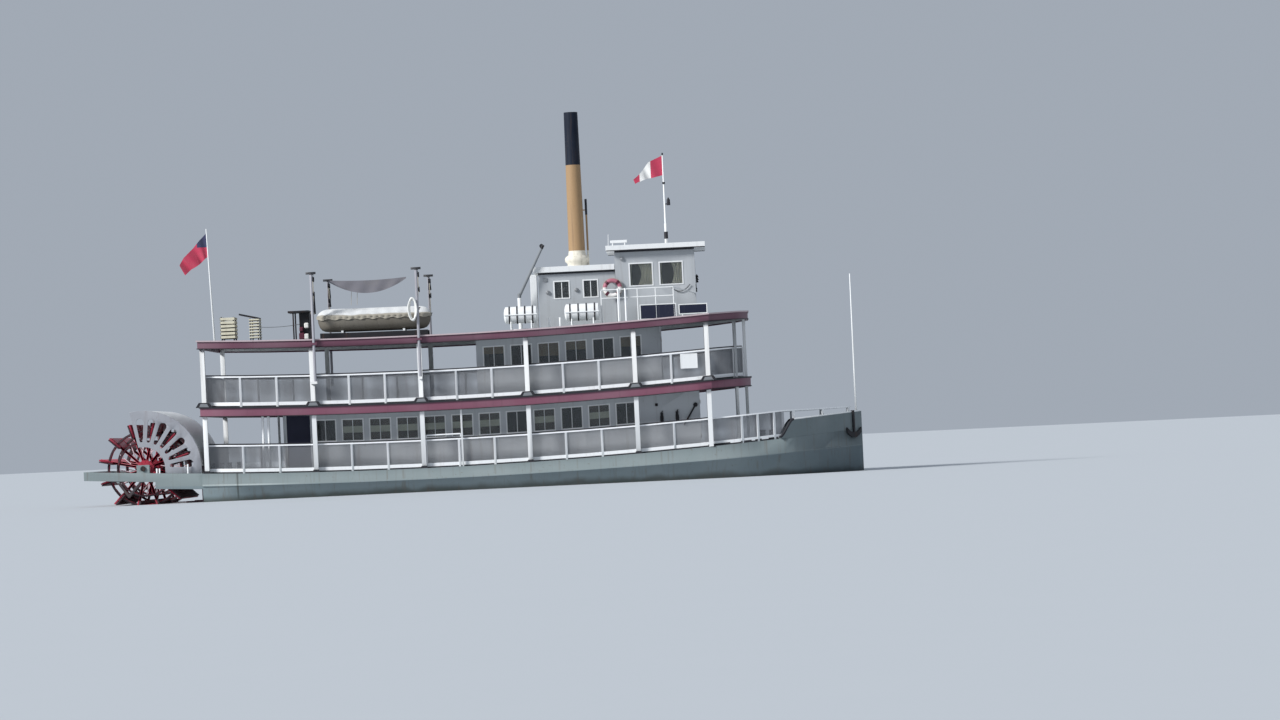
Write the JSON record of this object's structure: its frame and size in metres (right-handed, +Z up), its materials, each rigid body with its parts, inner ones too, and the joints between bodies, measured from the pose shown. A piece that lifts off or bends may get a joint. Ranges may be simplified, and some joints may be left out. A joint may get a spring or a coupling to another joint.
{
  "type": "sternwheel paddle boat",
  "caption": "Small passenger sternwheeler with a flat-bottomed hull, covered decks, roof cabins, a tall smokestack and a turning paddle wheel behind the transom.",
  "frame": {"origin": "under the middle of the boat's overall length and beam, on the flat bottom of the hull", "axes": "+X to the bow, +Y to port, +Z up; the waterline is 0.85 m above the origin"},
  "size_m": [27.86, 7.38, 14.34],
  "materials": {
    "hull_paint": "weathered semi-matt",
    "white_paint": "satin paint",
    "door_paint": "satin paint",
    "deck_paint": "matt non-slip paint",
    "wire_mesh": "galvanised wire, weathered",
    "maroon_paint": "satin paint",
    "crimson_paint": "satin paint, wet at the floats",
    "buff_paint": "satin paint with a black top",
    "black_iron": "black paint",
    "steel": "dull grey",
    "olive_paint": "matt paint",
    "raft_plastic": "white moulded shell",
    "canvas": "white canvas",
    "grey_canvas": "grey canvas",
    "flag_cloth": "woven bunting"
  },
  "bodies": {
    "root": {"hull": "hull_paint", "bow_bulwark": "hull_paint", "anchor": "black_iron", "upper_deck": "deck_paint", "roof_deck": "deck_paint", "upper_fascia": "maroon_paint", "roof_fascia": "maroon_paint", "main_posts_starboard": "white_paint", "main_posts_port": "white_paint", "upper_posts_starboard": "white_paint", "upper_posts_port": "white_paint", "main_rail_starboard": "white_paint", "main_rail_port": "white_paint", "upper_rail_starboard": "white_paint", "upper_rail_port": "white_paint", "main_screens": "wire_mesh", "upper_screens": "wire_mesh", "main_cabin_wall_starboard": "white_paint", "main_cabin_wall_port": "white_paint", "main_cabin_wall_front": "white_paint", "main_cabin_wall_aft": "white_paint", "upper_cabin_wall_starboard": "white_paint", "upper_cabin_wall_port": "white_paint", "upper_cabin_wall_front": "white_paint", "upper_cabin_wall_aft": "white_paint", "texas_walls": "white_paint", "texas_roof": "white_paint", "pilothouse_walls": "white_paint", "pilothouse_roof": "white_paint", "smokestack": "buff_paint", "mast": "white_paint", "jackstaff": "white_paint", "ensign_staff": "white_paint", "mast_flag": "flag_cloth", "ensign": "flag_cloth", "fantail_frame": "hull_paint", "wheel_cover_starboard": "white_paint", "wheel_cover_port": "white_paint", "wheel_cover_shell": "white_paint", "davit_aft_port": "white_paint", "davit_fore_port": "white_paint", "lifeboat": "olive_paint", "lifeboat_cover": "canvas", "awning": "grey_canvas", "life_raft_aft": "raft_plastic", "life_raft_fore": "raft_plastic", "crane_stand": "white_paint"},
    "wheel": {"paddle_wheel": "crimson_paint", "wheel_shaft": "black_iron"},
    "rudder_starboard": {"rudder_starboard": "maroon_paint"},
    "rudder_port": {"rudder_port": "maroon_paint"},
    "crane": {"crane_boom": "steel"},
    "davit_aft": {"davit_aft_starboard": "white_paint"},
    "davit_fore": {"davit_fore_starboard": "white_paint"},
    "main_door_front": {"main_cabin_door_front": "door_paint"},
    "main_door_aft": {"main_cabin_door_aft": "door_paint"},
    "upper_door_front": {"upper_cabin_door_front": "door_paint"},
    "upper_door_aft": {"upper_cabin_door_aft": "door_paint"},
    "texas_door": {"texas_door": "door_paint"},
    "pilothouse_door": {"pilothouse_door": "door_paint"}
  },
  "joints": [
    {"name": "wheel_spin", "type": "hinge", "parent": "root", "child": "wheel", "pos_m": [-11.81, 0, 2.14], "axis": [0, 1, 0], "continuous": true},
    {"name": "rudder_starboard_turn", "type": "hinge", "parent": "root", "child": "rudder_starboard", "pos_m": [-9.92, -1.3, 0.9], "axis": [0, 0, 1], "range_deg": [-35, 35]},
    {"name": "rudder_port_turn", "type": "hinge", "parent": "root", "child": "rudder_port", "pos_m": [-9.92, 1.3, 0.9], "axis": [0, 0, 1], "range_deg": [-35, 35]},
    {"name": "crane_slew", "type": "hinge", "parent": "root", "child": "crane", "pos_m": [1.8, -1.75, 7.63], "axis": [0, 0, 1], "range_deg": [-170, 0]},
    {"name": "davit_aft_slew", "type": "hinge", "parent": "root", "child": "davit_aft", "pos_m": [-5.5, -3.62, 4.95], "axis": [0, 0, 1], "range_deg": [0, 180]},
    {"name": "davit_fore_slew", "type": "hinge", "parent": "root", "child": "davit_fore", "pos_m": [-1.76, -3.62, 4.95], "axis": [0, 0, -1], "range_deg": [0, 180]},
    {"name": "main_door_front_swing", "type": "hinge", "parent": "root", "child": "main_door_front", "pos_m": [8.113, 0.4, 2.5], "axis": [0, 0, 1], "range_deg": [0, 90]},
    {"name": "main_door_aft_swing", "type": "hinge", "parent": "root", "child": "main_door_aft", "pos_m": [-6.813, -0.4, 2.3], "axis": [0, 0, 1], "range_deg": [0, 90]},
    {"name": "upper_door_front_swing", "type": "hinge", "parent": "root", "child": "upper_door_front", "pos_m": [6.813, 0.4, 4.8], "axis": [0, 0, 1], "range_deg": [0, 90]},
    {"name": "upper_door_aft_swing", "type": "hinge", "parent": "root", "child": "upper_door_aft", "pos_m": [0.187, -0.4, 4.6], "axis": [0, 0, 1], "range_deg": [0, 90]},
    {"name": "texas_door_swing", "type": "hinge", "parent": "root", "child": "texas_door", "pos_m": [2.487, -0.4, 7.4], "axis": [0, 0, 1], "range_deg": [0, 90]},
    {"name": "pilothouse_door_swing", "type": "hinge", "parent": "root", "child": "pilothouse_door", "pos_m": [5.5, 1.663, 7.2], "axis": [0, 0, 1], "range_deg": [0, 90]}
  ],
  "couplings": [
    {"joint": "rudder_port_turn", "follows": "rudder_starboard_turn", "ratio": 1}
  ]
}
